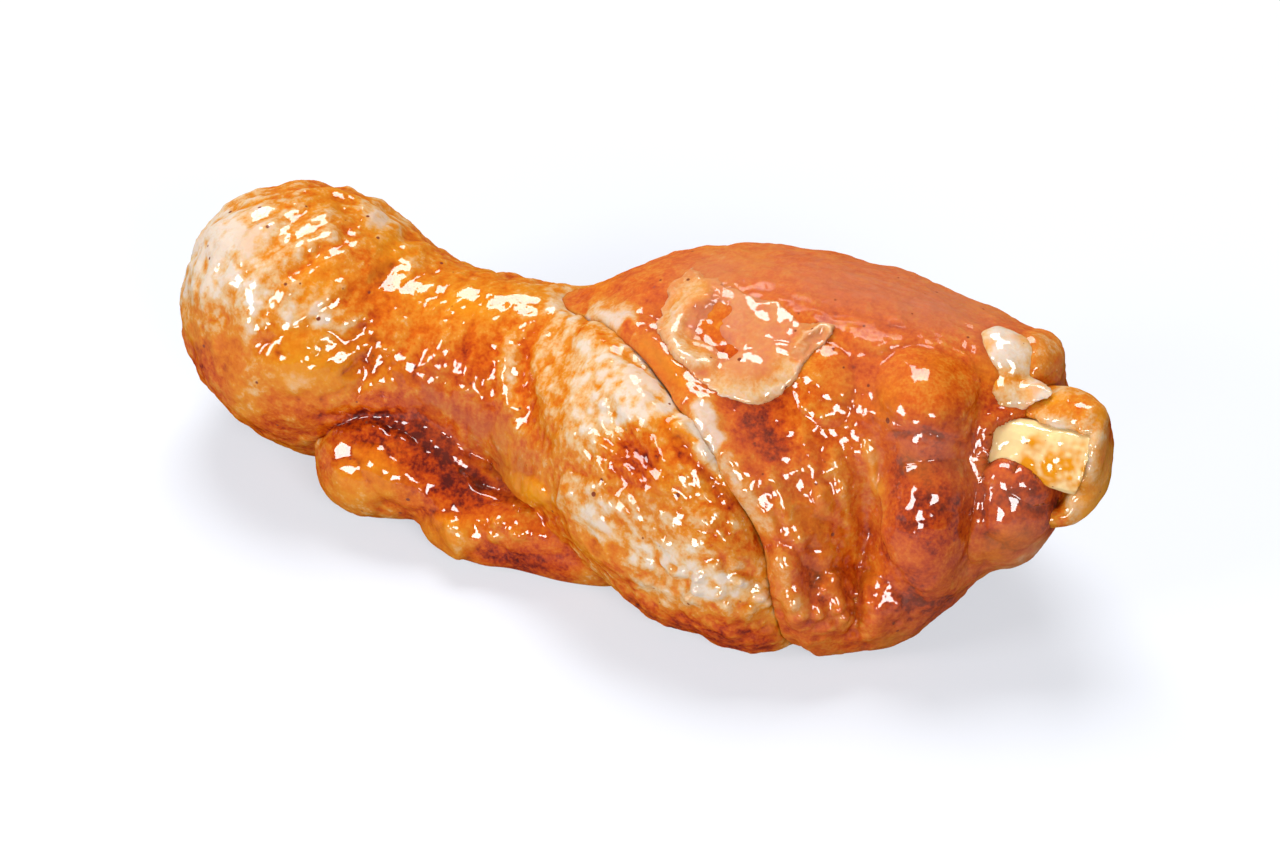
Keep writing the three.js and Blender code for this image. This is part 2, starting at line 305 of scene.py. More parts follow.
def beads(points, size, seed, width):
    """Round bumps of height 1 on scattered points."""
    return np.exp(-((cells(points, size, seed) / width) ** 2))


def veins(points, size, seed, width):
    """Thin branching lines of height 1, where noise passes through 0."""
    return np.exp(-((noise(points, size, seed) / width) ** 2))


def wrinkles(points, size, seed):
    """Rounded folds of height 1 with narrow creases of height 0 between them."""
    coarse = veins(points, size, seed, 0.25)
    small = veins(points, 0.6 * size, seed + 1, 0.25)
    return 1 - np.maximum(coarse, 0.7 * small)


print("wrinkles at three places:", wrinkles(np.eye(3), 0.3, 1).round(2))

# %% [markdown]
# ## From a plain solid to fine clay
#
# A solid from the frame is made of flat facets about two millimetres across. `clay` copies it,
# merges its loose corners, smooths the facets by subdivision, and remeshes the result into even
# squares about a quarter of a millimetre wide, fine enough to carry goosebumps. What a neighbour
# hides, such as the inside of the skin, is thinned out again by Decimate. By hand this would be
# sculpted on a Multiresolution modifier. In code, a remesh gives the same even clay.

# %% Turn a node into clay

LOOSE = 1e-6  # corners closer than this are one corner


def modifier(piece, kind, **settings):
    """Adds a modifier and applies it."""
    bpy.context.view_layer.objects.active = piece
    added = piece.modifiers.new(kind.lower(), kind)
    for key, value in settings.items():
        setattr(added, key, value)
    bpy.ops.object.modifier_apply(modifier=added.name)


def clay(node, name, square, smoothing, rounding="CATMULL_CLARK"):
    """A merged, smoothed copy of a node, remeshed into squares of a given width."""
    piece = bpy.data.objects.new(name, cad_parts[node].data.copy())
    bpy.context.scene.collection.objects.link(piece)
    piece.data.materials.clear()
    bpy.ops.object.select_all(action="DESELECT")
    piece.select_set(True)
    bpy.context.view_layer.objects.active = piece
    bpy.ops.object.mode_set(mode="EDIT")
    bpy.ops.mesh.select_all(action="SELECT")
    bpy.ops.mesh.remove_doubles(threshold=LOOSE)
    bpy.ops.mesh.tris_convert_to_quads(
        face_threshold=math.radians(50), shape_threshold=math.radians(60)
    )
    bpy.ops.object.mode_set(mode="OBJECT")
    modifier(piece, "SUBSURF", levels=2, render_levels=2, subdivision_type=rounding)
    modifier(piece, "REMESH", mode="VOXEL", voxel_size=square, use_smooth_shade=True)
    modifier(piece, "SMOOTH", factor=0.5, iterations=smoothing)
    print(name, "has", len(piece.data.vertices), "vertices")
    return piece


# %% Read and move vertices


def positions(piece):
    """All vertices as rows of x, y and z."""
    co = np.empty(len(piece.data.vertices) * 3)
    piece.data.vertices.foreach_get("co", co)
    return co.reshape(-1, 3)


def normals(piece):
    """The directions that the vertices face, in the same rows."""
    facing = np.empty(len(piece.data.vertices) * 3)
    piece.data.vertices.foreach_get("normal", facing)
    return facing.reshape(-1, 3)


def move(piece, co):
    """Puts all vertices in new places."""
    piece.data.vertices.foreach_set("co", co.ravel())
    piece.data.update()


def raise_by(piece, height):
    """Moves each vertex along its normal by a height in millimetres."""
    move(piece, positions(piece) + normals(piece) * height[:, None] * MM)
    print(piece.name, "moves by", height.min().round(2), "to", height.max().round(2), "mm")


print("loose corners of the skin's solid:", len(positions(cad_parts["skin"])))

# %% [markdown]
# Marinade runs off the bumps and gathers in the hollows, and the same measure darkens the hollows
# further as painted shade. To know a hollow from a bump, the surface is compared with a softened
# copy of itself: where the copy lies above, there is a hollow. A few rounds of softening find the
# gaps between goosebumps, and many rounds find the large folds.

# %% Measure hollows

EASE = 0.6  # how far each round of softening goes towards the neighbours' average
HOLLOWS = [
    # rounds of softening, depth of a full hollow in millimetres, marinade and painted shade it adds
    (6, 0.03, 0.04),
    (30, 0.25, 0.08),
    (150, 1.2, 0.06),
]


def soften(piece, values, rounds):
    """Averages values over neighbouring vertices, many times over."""
    edges = np.empty(len(piece.data.edges) * 2, int)
    piece.data.edges.foreach_get("vertices", edges)
    a, b = edges.reshape(-1, 2).T
    count = len(piece.data.vertices)
    near = np.bincount(a, minlength=count) + np.bincount(b, minlength=count)
    columns = np.array(values, float).reshape(count, -1)
    for _ in range(rounds):
        for column in columns.T:
            total = np.bincount(a, column[b], count) + np.bincount(b, column[a], count)
            column += EASE * (total / near - column)
    return columns.reshape(np.shape(values))


def hollowness(piece, rounds):
    """Millimetres that a surface lies below its softened self: a crease is positive."""
    co = positions(piece)
    return ((soften(piece, co, rounds) - co) * normals(piece)).sum(axis=1) / MM


def pooling_and_crease_shade(piece):
    """How much marinade and painted shade a place gets: more in hollows of any size, less on bumps.
    """
    return sum(
        amount * np.clip(hollowness(piece, rounds) / depth, -1, 1)
        for rounds, depth, amount in HOLLOWS
    )


print("sizes of hollow:", len(HOLLOWS))

# %% [markdown]
# The six parts lie close together, and each has to know where the others are. Rays along the
# normals find what a neighbour covers, which needs neither relief nor many faces, and the distance
# to the nearest neighbour tells where two parts touch, where they are bedded together and where
# shade is painted in as darker marinade.

# %% Find what a neighbour hides

COVER = 1.2 * MM  # a neighbour this close hides the surface
KEPT_SHARE = 0.05  # of the faces that are hidden


def tree_of(nodes):
    """A search tree of the plain solids of some nodes."""
    corners, faces = [], []
    for node in nodes:
        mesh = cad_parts[node].data
        faces += [[i + len(corners) for i in polygon.vertices] for polygon in mesh.polygons]
        corners += [v.co for v in mesh.vertices]
    return BVHTree.FromPolygons(corners, faces)


def openness(piece, neighbours):
    """1 where nothing covers the surface, 0 where a neighbour does."""
    tree = tree_of(neighbours)
    rays = zip(positions(piece), normals(piece))
    covered = [tree.ray_cast(at, facing, COVER)[0] is not None for at, facing in rays]
    return soften(piece, 1 - np.array(covered, float), 4)


def visible(piece, neighbours):
    """Openness, but 0 where the piece lies on the floor, so that it stays flat there."""
    height = positions(piece)[:, 2]
    shows = openness(piece, neighbours) * smoothstep(height, 0.2 * MM, 2 * MM)
    print(piece.name, "shows at", shows.mean().round(2), "of its vertices")
    return shows


def touch(piece, neighbours, reach):
    """Near 1 where a neighbour touches the surface, and less the further away it is."""
    tree = tree_of(neighbours)
    gap = np.array([tree.find_nearest(at)[3] for at in positions(piece)])
    return np.exp(-((gap / reach) ** 2))


def thin_out(piece, hidden):
    """Decimates only where the surface is hidden."""
    marked = piece.vertex_groups.new(name="hidden")
    marked.add(np.flatnonzero(hidden).tolist(), 1.0, "REPLACE")
    ratio = 1 - (1 - KEPT_SHARE) * np.mean(hidden)
    modifier(piece, "DECIMATE", ratio=ratio, vertex_group="hidden", vertex_group_factor=1.0)
    piece.vertex_groups.remove(piece.vertex_groups["hidden"])
    triangles = sum(len(face.vertices) - 2 for face in piece.data.polygons)
    print(piece.name, "keeps", triangles, "triangles")


print("hidden within", COVER / MM, "mm of a neighbour")

# %% [markdown]
# ## The stencil
#
# The stencil looks straight at the drumette from the camera, with x to the right and y up in
# millimetres, and measures how far each vertex lies from a drawn line. Only the flesh that faces
# the camera takes the mark. A ridge or a groove is the same on both sides of its line. A fold is
# high on its left side and drops away sharply on its right, as where one layer lies on another. A
# spot fades out softly, and a dome ends on a clear outline.

# %% Press lines and spots through the stencil


class Stencil:
    """Marks pressed onto a piece from the camera's side. Widths are half widths."""

    def __init__(self, piece):
        co, facing = positions(piece), normals(piece)
        self.u = co @ np.array(RIGHT) / MM + self.wobble(co, 90)
        self.v = co @ np.array(UP) / MM + self.wobble(co, 95)
        self.front = smoothstep(facing @ np.array(BACK), -0.2, 0.15)

    def wobble(self, co, seed):
        """Small shifts, so that no drawn line or oval comes out ruled."""
        return 0.35 * noise(co, 5 * MM, seed) + 0.18 * noise(co, 1.6 * MM, seed + 1)

    def line(self, points):
        """The distance to a line, positive on its left, and the share of the way along it."""
        nearest = np.full(len(self.u), 1e3)
        side = np.ones(len(self.u))
        share = np.zeros(len(self.u))
        points = np.array(points, float)
        steps = np.linalg.norm(np.diff(points, axis=0), axis=1)
        done = 0.0
        for (x0, y0), (x1, y1), length in zip(points[:-1], points[1:], steps):
            dx, dy = (x1 - x0) / length, (y1 - y0) / length
            ahead = np.clip((self.u - x0) * dx + (self.v - y0) * dy, 0, length)
            away_x, away_y = self.u - x0 - ahead * dx, self.v - y0 - ahead * dy
            gap = np.hypot(away_x, away_y)
            closer = gap < nearest
            nearest = np.where(closer, gap, nearest)
            side = np.where(closer, np.sign(dx * away_y - dy * away_x + 1e-12), side)
            share = np.where(closer, (done + ahead) / steps.sum(), share)
            done += length
        return nearest * side, share

    def ends(self, share):
        """1 along a line, and less over its first and last seventh."""
        return smoothstep(share, -0.01, 0.15) * smoothstep(1 - share, -0.01, 0.15)

    def ridge(self, points, width, height=1.0):
        gap, share = self.line(points)
        return self.front * self.ends(share) * height * np.exp(-((gap / width) ** 2))

    def fold(self, points, width, height, drop=0.35):
        gap, share = self.line(points)
        shape = np.exp(-np.maximum(gap, 0) / width) * smoothstep(gap, -drop, drop)
        return self.front * self.ends(share) * height * shape

    def reach(self, x, y, width, tall, turn):
        """How far out from an oval's middle, 1 on its outline."""
        c, s = math.cos(math.radians(turn)), math.sin(math.radians(turn))
        along = (self.u - x) * c + (self.v - y) * s
        across = (self.v - y) * c - (self.u - x) * s
        return np.hypot(along / width, across / (tall or width))

    def spot(self, x, y, width, height=1.0, tall=None, turn=0.0):
        return self.front * height * np.exp(-self.reach(x, y, width, tall, turn) ** 2)

    def dome(self, x, y, width, height, tall, turn=0.0):
        out = self.reach(x, y, width, tall, turn)
        return self.front * height * np.clip(1 - out**2, 0, 1) ** 0.7

    def spots(self, table):
        """Adds up spots, each given by its place, width, height, half height and turn."""
        return sum(self.spot(x, y, *rest) for (x, y), *rest in table)

    def ridges(self, table):
        """Adds up ridges, each given by its line, width and height."""
        return sum(self.ridge(*row) for row in table)


print("the stencil's up:", [round(x, 2) for x in UP])

# %% [markdown]
# ## The marinade
#
# The marinade is oil, paprika and ground spice. It stains pale skin from cream through orange to a
# deep red where it pools, leaves bare specks on the tops of goosebumps, and carries dark grains of
# spice. Its darkest colours also stand for painted shade, in creases, under overhangs and where
# parts meet. It could be painted as a texture, but then each part would need unwrapping. Noise on
# the object's own coordinates needs none, and stays sharp up close. What the finishes share is kept
# in three node groups.

# %% Build the stain

# the darkest colours stand for deep marinade and for painted shade alike
STAIN_AND_SHADE = [
    (0.0, (0.505, 0.408, 0.328)),
    (0.16, (0.5, 0.31, 0.145)),
    (0.34, (0.475, 0.165, 0.014)),
    (0.54, (0.435, 0.078, 0.003)),
    (0.72, (0.33, 0.035, 0.002)),
    (0.88, (0.155, 0.012, 0.003)),
    (1.0, (0.065, 0.006, 0.004)),
]
YELLOW_OIL = (0.53, 0.195, 0.004)
MOTTLING = [
    # scale, detail and strength, from coarse to fine
    (320, 4, 0.36),
    (1100, 3, 0.5),
    (3000, 2, 0.44),
]
LEAST_MOTTLED, MOTTLED_MORE = 0.5, 0.85  # thick marinade is more mottled than a thin stain

stain_and_shade, stain_in, stain_out = group(
    "stain_and_shade",
    [("Amount", "NodeSocketFloat"), ("Yellow", "NodeSocketFloat")],
    [("Color", "NodeSocketColor")],
)
spread = 0.0
for scale, detail, strength in MOTTLING:
    texture = pattern(stain_and_shade, "noise", scale, detail)
    texture = maths(stain_and_shade, "MULTIPLY_ADD", texture, strength, -strength / 2)
    spread = maths(stain_and_shade, "ADD", spread, texture)
given = stain_in.outputs["Amount"]
share = maths(stain_and_shade, "MULTIPLY_ADD", given, MOTTLED_MORE, LEAST_MOTTLED)
amount = maths(stain_and_shade, "MULTIPLY_ADD", spread, share, given, clamp=True)
stained = mix(stain_and_shade, stain_in.outputs["Yellow"], ramp(stain_and_shade, amount, STAIN_AND_SHADE), YELLOW_OIL)
stain_and_shade.links.new(stained, stain_out.inputs["Color"])
print("stain:", len(STAIN_AND_SHADE), "colours,", len(MOTTLING), "sizes of mottling")

# %% Build the grains of spice

RARE_SCALE = 500
GRAIN_EDGE = 20.0

spice, spice_in, spice_out = group(
    "spice", [("Scale", "NodeSocketFloat")], [("Mask", "NodeSocketFloat")]
)
# a grain is the middle of a Voronoi cell, and most cells hold a grain of no width
grains = pattern(spice, "voronoi", spice_in.outputs["Scale"], 0)
rare = pattern(spice, "noise", RARE_SCALE, 1)
width = maths(spice, "MULTIPLY_ADD", rare, 0.6, -0.25, clamp=True)
mask = maths(spice, "SUBTRACT", width, grains, clamp=True)
mask = maths(spice, "MULTIPLY", mask, GRAIN_EDGE, clamp=True)
spice.links.new(mask, spice_out.inputs["Mask"])
print("spice:", len(spice.nodes), "nodes")

# %% Build the bumps under the film

BUMP_SCALE, RIPPLE_SCALE = 900, 2600

wet_relief, relief_in, relief_out = group(
    "wet_relief", [("Film", "NodeSocketFloat")], [("Height", "NodeSocketFloat")]
)
bumps = pattern(wet_relief, "noise", BUMP_SCALE, 2)
ripples = pattern(wet_relief, "noise", RIPPLE_SCALE, 2)
height = maths(wet_relief, "MULTIPLY_ADD", ripples, 0.25, bumps)
height = maths(wet_relief, "MULTIPLY", height, relief_in.outputs["Film"])
wet_relief.links.new(height, relief_out.inputs["Height"])
print("groups:", [g.name for g in bpy.data.node_groups])

# %% [markdown]
# ## The wet finish
#
# Raw flesh lets light in, and the film of oil over it mirrors the lamps sharply. One glossy layer
# can't do both, so the flesh is the base of a Principled shader, with subsurface light, and the
# film is its coat, a clear layer on top. Each piece keeps numbers on its vertices, such as how much
# marinade a place holds, with painted shade added in, and the finish reads them by name.

# %% Keep values on the vertices


def store(piece, name, values):
    """Keeps a value for each vertex, which the piece's material reads by name."""
    values = np.clip(values, 0, 1)
    attribute = piece.data.attributes.new(name, "FLOAT", "POINT")
    attribute.data.foreach_set("value", values.astype(np.float32))
    print(piece.name, "has", values.mean().round(2), name, "on average")


# %% Make a wet material

SPICE_SCALE = 580.0
SPICE_COLOUR = (0.16, 0.035, 0.014)
LEAN_RED = (0.27, 0.065, 0.03)
LIGHT_REACH = (1.0, 0.32, 0.12)  # red light goes furthest through flesh


def place_group(tree, shared, **values):
    """One use of a shared group, with values for its inputs."""
    node = tree.nodes.new("ShaderNodeGroup")
    node.node_tree = shared
    for key, value in values.items():
        feed(tree, value, node.inputs[key])
    return node.outputs[0]


def attribute(tree, name):
    """A value that a piece keeps on its vertices."""
    node = tree.nodes.new("ShaderNodeAttribute")
    node.attribute_name = name
    return node.outputs["Fac"]


def wet(name, depth, see_through, bump=0.35, flesh=LEAN_RED):
    """A wet finish. depth is how far light goes in, and flesh is the colour of what is lean."""
    material = bpy.data.materials.new(name)
    material.use_nodes = True
    tree = material.node_tree
    shader = tree.nodes["Principled BSDF"]
    # the amount of marinade, which also carries painted shade in creases and where parts meet
    colour = place_group(
        tree, stain_and_shade, Amount=attribute(tree, "sauce_and_shade"), Yellow=attribute(tree, "yellow")
    )
    colour = mix(tree, attribute(tree, "flesh"), colour, flesh)
    colour = mix(tree, place_group(tree, spice, Scale=SPICE_SCALE), colour, SPICE_COLOUR)
    tree.links.new(colour, shader.inputs["Base Color"])
    shader.inputs["Roughness"].default_value = 0.5
    shader.inputs["Specular IOR Level"].default_value = 0.0
    shader.inputs["Subsurface Weight"].default_value = see_through
    shader.inputs["Subsurface Radius"].default_value = LIGHT_REACH
    shader.inputs["Subsurface Scale"].default_value = depth
    # the film is full where it faces the eye, and thins out edge-on and where it is dry
    edge_on = tree.nodes.new("ShaderNodeLayerWeight")
    film = maths(tree, "MULTIPLY_ADD", edge_on.outputs["Facing"], -1.4, 1.2)
    film = maths(tree, "SUBTRACT", film, attribute(tree, "dry"), clamp=True)
    tree.links.new(film, shader.inputs["Coat Weight"])
    shader.inputs["Coat Roughness"].default_value = 0.05
    shader.inputs["Coat IOR"].default_value = 1.52
    relief = tree.nodes.new("ShaderNodeBump")
    relief.inputs["Distance"].default_value = 0.4 * MM
    relief.inputs["Strength"].default_value = bump
    tree.links.new(place_group(tree, wet_relief, Film=1.0), relief.inputs["Height"])
    tree.links.new(relief.outputs[0], shader.inputs["Normal"])
    return material


def dress(piece, node, material):
    """Gives a finished piece its material and its place in the frame."""
    piece.data.materials.append(material)
    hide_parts(node)
    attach(piece, "root")
    print(piece.name, "wears", material.name)


# %% [markdown]
# ## The skin
#
# Chicken skin is pale, loose and covered in goosebumps. It wrinkles round the shaft, bags over the
# belly, and ends on a rolled lip. It could all be sculpted by hand, but a script comes out the same
# each time. The folds that can be pointed at one by one are drawn through the stencil, and the
# endless small ones are random. The work goes from large to small.

# %% Make the skin's clay

SKIN_SQUARE = 0.293 * MM
HIDDEN = 0.05  # what is less open than this counts as hidden

skin = clay("skin", "skin_sleeve", SKIN_SQUARE, 12)
thin_out(skin, openness(skin, ["muscle", "humerus"]) < HIDDEN)
showing = visible(skin, ["muscle", "humerus"])

# %% Draw the skin's folds

NECK = [(-23.4, 30.7), (-25.3, 25.9), (-26.6, 20.4), (-27.6, 15.3), (-29.2, 10.7)]
BELLY_EDGE = [(-9.2, 22.4), (-11.1, 17.8), (-11.8, 12.0), (-9.8, 6.2), (-7.3, 2.4)]
WEB_CREASE = [(-32.1, 7.8), (-27.6, 10.4), (-23.4, 9.1), (-18.9, 5.9), (-14.0, 2.7), (-9.5, 0.7)]
POUCH = [(-7.3, 5.3), (-7.9, 2.0), (-6.3, -1.5), (-3.1, -4.1), (0.8, -6.4)]
TONGUE = [(2.4, 9.5), (5.0, 7.2), (7.6, 4.6), (9.8, 1.4)]
ROLL = [(-1.8, 14.0), (1.5, 11.4), (4.4, 7.8), (6.6, 4.6)]
SKIN_CREASE = [(-1.8, 17.2), (1.8, 14.0), (4.7, 10.7), (7.3, 7.2), (9.2, 3.3)]
SKIN_RIDGES = [
    # line, half width, height in millimetres
    (NECK, 1.6, -0.5),  # the pinch behind the knuckle
    (BELLY_EDGE, 1.2, -0.25),
    (WEB_CREASE, 0.7, -0.35),
    (ROLL, 1.0, 0.3),
    (SKIN_CREASE, 0.6, -0.35),
    ([(-37.3, 22.0), (-38.9, 19.5), (-39.2, 16.2)], 0.8, 0.2),  # a wrinkle beside the knob
    # the bunched wrinkles where the shaft meets the belly
    ([(-12.1, 17.8), (-13.1, 14.0), (-12.1, 10.1)], 0.9, 0.4),
    ([(-8.9, 19.1), (-10.2, 15.3), (-9.2, 11.4)], 0.8, 0.35),
    ([(-18.5, 0.4), (-18.2, -1.8), (-17.3, -3.8)], 0.6, 0.35),
]
SKIN_SPOTS = [
    # place, half width, height, half height, turn
    ((-44.0, 30.7), 5.0, 0.7),  # the knuckle's upper corner
    ((-36.6, 17.5), 1.5, -0.35),  # a dimple beside the knob
    ((-0.5, 6.2), 2.6, -0.5, 2.0, -60),  # the dip beside the tongue
]

co = positions(skin)
press = Stencil(skin)
relief = 0.5 * noise(co, 9 * MM, 1) + 0.22 * noise(co, 4 * MM, 2)
# the knuckle is fullest up and to the left
up_left = normals(skin) @ np.array(UP * 0.6 - RIGHT * 0.8)
relief += smoothstep(up_left, 0.2, 1) * smoothstep(-co[:, 0], 24 * MM, 32 * MM)
relief += press.ridges(SKIN_RIDGES) + press.spots(SKIN_SPOTS)
relief += press.fold(POUCH, 3.2, 0.6)  # the pouch that laps over the web
relief += press.fold(TONGUE, 2.0, 1.1, drop=0.3)
relief += press.dome(-33.4, 15.6, 4.6, 0.55, 3.4)  # the knob of bone under the knuckle's skin
# fatty lumps of the web
relief += np.maximum.reduce(
    [
        press.dome(-28.9, 3.0, 3.6, 0.7, 3.0),
        press.dome(-25.0, 4.3, 4.6, 0.7, 2.0, -40),
        press.dome(-18.9, -1.5, 3.2, 0.5, 2.4),
        press.dome(-12.1, -0.9, 5.0, 0.5, 2.2, -15),
    ]
)
relief += press.dome(-11.8, 3.6, 3.0, 0.8, 1.3, -35)
raise_by(skin, showing * relief)

# %% [markdown]
# The fine wrinkles are rings round the shaft, slant on the knuckle, fall on the belly, and are
# almost missing on the fatty web below. One pattern all over would look like leather, so the skin
# is divided into four regions that fade into one another, and each gets its own grain.

# %% Divide the skin into regions

SLANTING, FALLING = RIGHT * 0.75 + UP * 0.65, RIGHT * 0.75 - UP * 0.6
SHAFT_HEIGHT = 14 * MM
RING_REACH, RING_LEAN = 4 * MM, 3 * MM

co = positions(skin)
press = Stencil(skin)
under_crease = smoothstep(-press.line(WEB_CREASE)[0], 0.3, 2) * smoothstep(-press.u, 5, 8)
on_web = under_crease * smoothstep(-co[:, 1], 2 * MM, 5 * MM)
on_shaft = smoothstep(co[:, 0], -28 * MM, -22 * MM) * smoothstep(-co[:, 0], -4 * MM, 6 * MM)
on_shaft *= 1 - on_web
on_knob = smoothstep(-co[:, 0], 20 * MM, 28 * MM) * (1 - on_web)
on_belly = np.clip(1 - on_shaft - on_knob - on_web, 0, 1)
# places on a thin leaning tube, so that patterns on them run as rings
angle = np.arctan2(co[:, 2] - SHAFT_HEIGHT, co[:, 1])
c, s = np.cos(angle), np.sin(angle)
ring = np.stack([co[:, 0] - RING_LEAN * c, RING_REACH * c, RING_REACH * s], axis=1)
slanting, falling = drawn_out(co, SLANTING, 2.5), drawn_out(co, FALLING, 2.5)
shares = [float(region.mean().round(2)) for region in (on_web, on_shaft, on_knob, on_belly)]
print("shares of web, shaft, knob and belly:", shares)

# %% Wrinkle the skin

fine = on_shaft * wrinkles(ring, 1.4 * MM, 31) + on_knob * wrinkles(slanting, 1.2 * MM, 32)
fine += on_belly * wrinkles(falling, 1.1 * MM, 33) + on_web
lumps = on_shaft * noise(ring, 1.9 * MM, 35) + on_knob * noise(slanting, 1.8 * MM, 36)
lumps += on_belly * noise(falling, 1.6 * MM, 37) + 0.4 * on_web * noise(co, 2.5 * MM, 38)
goose = beads(co, 1.1 * MM, 3, 0.4)
goose_height = (0.06 + 0.06 * smoothstep(noise(co, 12 * MM, 5), -0.4, 0.4)) * (1 - on_web)
# drops hang where marinade has run to, below the belly and on the web
drops = beads(co, 1.6 * MM, 8, 0.38)
drops *= press.spot(7.6, -6.4, 8, 1.2, 2.8, -15) + press.spot(-14.0, -0.5, 4.5, 1, 1.6)
calm = 1 - 0.4 * press.spot(-31.8, 26.9, 14, 1, 9)  # the wetter top of the knuckle
stretched = press.spot(-38.9, 12.7, 13, 1, 7, -35)  # the low left of the knuckle
relief = calm * (0.09 * fine + goose_height * goose) + 0.9 * drops
relief += (0.26 + 0.1 * on_knob) * lumps
relief += 0.14 * noise(co, 2.4 * MM, 3) + 0.06 * noise(co, 0.9 * MM, 4)
relief += 0.8 * (1 - calm) * noise(slanting, 2.1 * MM, 49)
raise_by(skin, showing * relief * (1 - 0.6 * stretched))

# %% [markdown]
# Marinade is thin on what stands up, thick in the creases, rubbed off in patches, and pooled where
# it has run to. Shade is painted in as darker marinade as well: in the creases, under the shaft,
# below the tongue fold and where the skin meets the meat. What follows from the relief comes from
# the measured hollows. The patches have causes that no rule knows, such as a thumb, so tables list
# them one by one for the stencil.

# %% Spread marinade over the skin

co = positions(skin)
press = Stencil(skin)
sauce_and_shade = 0.46 + 0.06 * noise(co, 14 * MM, 15) + 0.06 * noise(co, 5 * MM, 6) + pooling_and_crease_shade(skin)
sauce_and_shade += 0.05 * (0.6 - fine) + 0.1 * (0.3 - goose) + 0.06 * noise(co, 1.2 * MM, 14)
streaks = on_knob * noise(drawn_out(co, SLANTING, 3), 0.9 * MM, 44)
streaks += on_belly * noise(drawn_out(co, FALLING, 3), 0.9 * MM, 45)
dots = beads(co, 1.3 * MM, 21, 0.3)
sauce_and_shade += 0.16 * on_web + 0.1 * streaks + 0.16 * on_belly * dots
# the side turned away has bare patches too
sauce_and_shade -= 0.3 * (1 - press.front) * smoothstep(noise(co, 9 * MM, 46), 0, 0.5)
# painted shade: darker marinade where the skin's edge meets the meat
sauce_and_shade += 0.14 * touch(skin, ["muscle"], 1.2 * MM) * showing
print("marinade runs from", sauce_and_shade.min().round(2), "to", sauce_and_shade.max().round(2))

# %% Leave bare and pooled patches

BARE = [
    # place, half width, amount, half height, turn
    ((-42.7, 26.9), 6.2, 0.5, 6.0),
    ((-33.1, 20.4), 5.2, 0.42, 1.7, -10),
    ((-38.5, 18.5), 1.0, 0.3, 3.2),
    ((-39.5, 12.0), 1.0, 0.2, 2.2, -30),
    ((-25.6, 29.8), 2.8, 0.5, 1.5, -45),
    ((-34.0, 13.6), 2.6, 0.3, 1.2),
    ((-43.1, 20.1), 2.0, 0.1, 2.0),
    ((-22.1, 26.2), 2.2, 0.12, 1.2, -30),
    ((-7.3, 21.4), 2.6, 0.3, 1.4, -20),
    ((4.0, 0.1), 4.2, 0.2, 2.6, -35),
    ((1.8, -7.6), 3.4, 0.36, 1.2, -25),
    ((-27.9, 1.7), 3.0, 0.18, 2.0),
    ((-17.3, -0.9), 1.4, 0.14, 1.4),
    ((-1.8, 15.3), 6.5, 0.4, 3.8, -38),
    ((-5.6, 10.1), 3.0, 0.28, 5.0, 10),
    ((3.7, 10.7), 5.5, 0.36, 1.4, -45),
    ((6.9, 7.5), 2.6, 0.5, 1.2, -52),
    ((0.2, -2.2), 9.0, 0.32, 2.6, -32),
    ((-6.0, 1.1), 1.8, 0.3, 3.6, 25),
    ((-1.8, 10.1), 2.4, 0.3, 1.8),
    ((-12.4, 14.3), 1.0, 0.2, 3.4, 5),
    ((-9.5, 15.3), 0.9, 0.18, 3.4, 5),
    ((7.6, -5.7), 6.5, 0.36, 2.2, -15),
    ((-13.4, -1.2), 2.6, 0.12, 1.6, -10),
    ((-25.0, -0.5), 2.4, 0.2, 1.2, -20),
    ((-18.2, -1.5), 0.9, 0.3, 2.6, 10),
]
# lines of marinade pooled in creases; some of them also carry painted shadow
POOLED_AND_SHADED = [
    # line, half width, amount
    (NECK, 2.2, 0.16),
    # marinade in the web crease, darkened as painted shadow under the shaft
    (WEB_CREASE, 1.5, 0.22),
    # painted shadow below the tongue fold
    ([(2.4, 8.5), (5.0, 6.2), (7.6, 3.6), (9.5, 0.7)], 0.7, 0.2),
    ([(-0.5, 10.1), (-0.8, 7.2), (0.5, 3.0)], 2.0, 0.22),
    ([(-18.5, 17.2), (-17.3, 14.9), (-16.3, 13.0)], 1.8, 0.16),
    ([(-24.0, 16.9), (-23.7, 13.3)], 1.6, 0.12),
    ([(1.5, 10.1), (3.7, 9.1), (6.0, 7.5)], 1.2, 0.3),
    ([(-3.7, -7.0), (2.1, -10.2), (8.6, -11.8), (15.0, -12.2)], 2.2, 0.3),
    (POUCH, 0.8, 0.2),
    # painted shade under the shaft, over the web
    ([(-28.2, 9.8), (-23.7, 7.8), (-18.5, 4.3), (-14.0, 1.7)], 2.4, 0.17),
    ([(-21.1, 6.9), (-17.9, 4.3), (-14.7, 2.4)], 2.0, 0.1),
    ([(-6.6, 19.8), (-3.4, 17.8), (-0.8, 15.9)], 0.8, 0.3),
    ([(-16.6, -3.1), (-11.4, -4.1), (-6.3, -5.1)], 1.0, 0.22),
]
SOAKED = [
    ((-1.8, 6.2), 3.4, 0.1, 1.8, -30),
    ((-36.0, 9.8), 6.0, 0.2, 2.2),
    ((-20.5, 0.4), 2.6, 0.14),
    ((-44.0, 15.3), 3.6, 0.2, 4.0),
    ((-36.3, 17.5), 2.0, 0.18),
    ((-34.0, 28.2), 9.0, -0.07, 6.0),
]

patchy = np.clip(0.88 + 0.7 * noise(co, 1.4 * MM, 47), 0.1, 1.8)
sauce_and_shade -= press.spots(BARE) * patchy
sauce_and_shade += press.ridges(POOLED_AND_SHADED) + press.spots(SOAKED)
store(skin, "sauce_and_shade", sauce_and_shade)

# %% Add fat, lean and dry places

